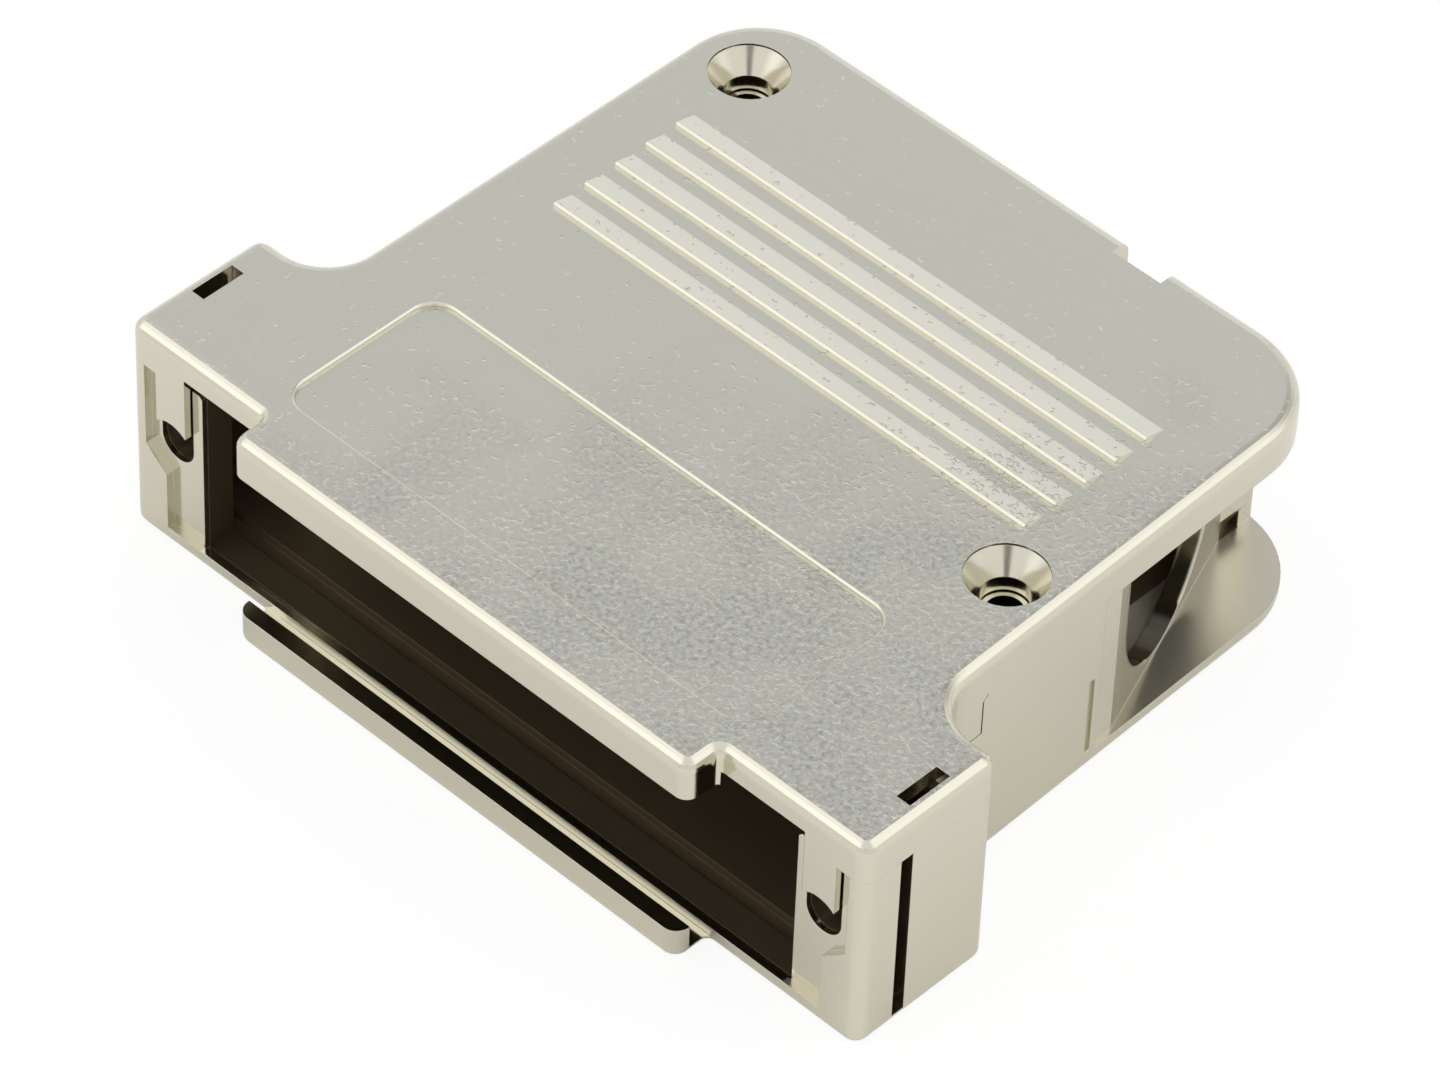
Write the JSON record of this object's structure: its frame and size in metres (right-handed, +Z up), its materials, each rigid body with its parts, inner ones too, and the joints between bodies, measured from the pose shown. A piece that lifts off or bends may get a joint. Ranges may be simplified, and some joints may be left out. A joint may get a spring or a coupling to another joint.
{
  "type": "d-sub hood",
  "caption": "Two-part metal hood for a wide D-sub connector, with an open mouth in front, grip ribs on top and a round cable opening at the back-right corner.",
  "frame": {"origin": "middle of the underside of the whole hood's box, hook lips included", "axes": "+X along the connector to the cable's side, +Y away from the connector's mating side, +Z up through both shells to the ribbed top"},
  "size_m": [0.0532, 0.0446, 0.0147],
  "materials": {
    "nickel_plate": "satin nickel plating on a zinc die casting, warm grey, slightly grained on top"
  },
  "bodies": {
    "root": {"lower_shell": "nickel_plate", "upper_shell": "nickel_plate"}
  },
  "joints": []
}
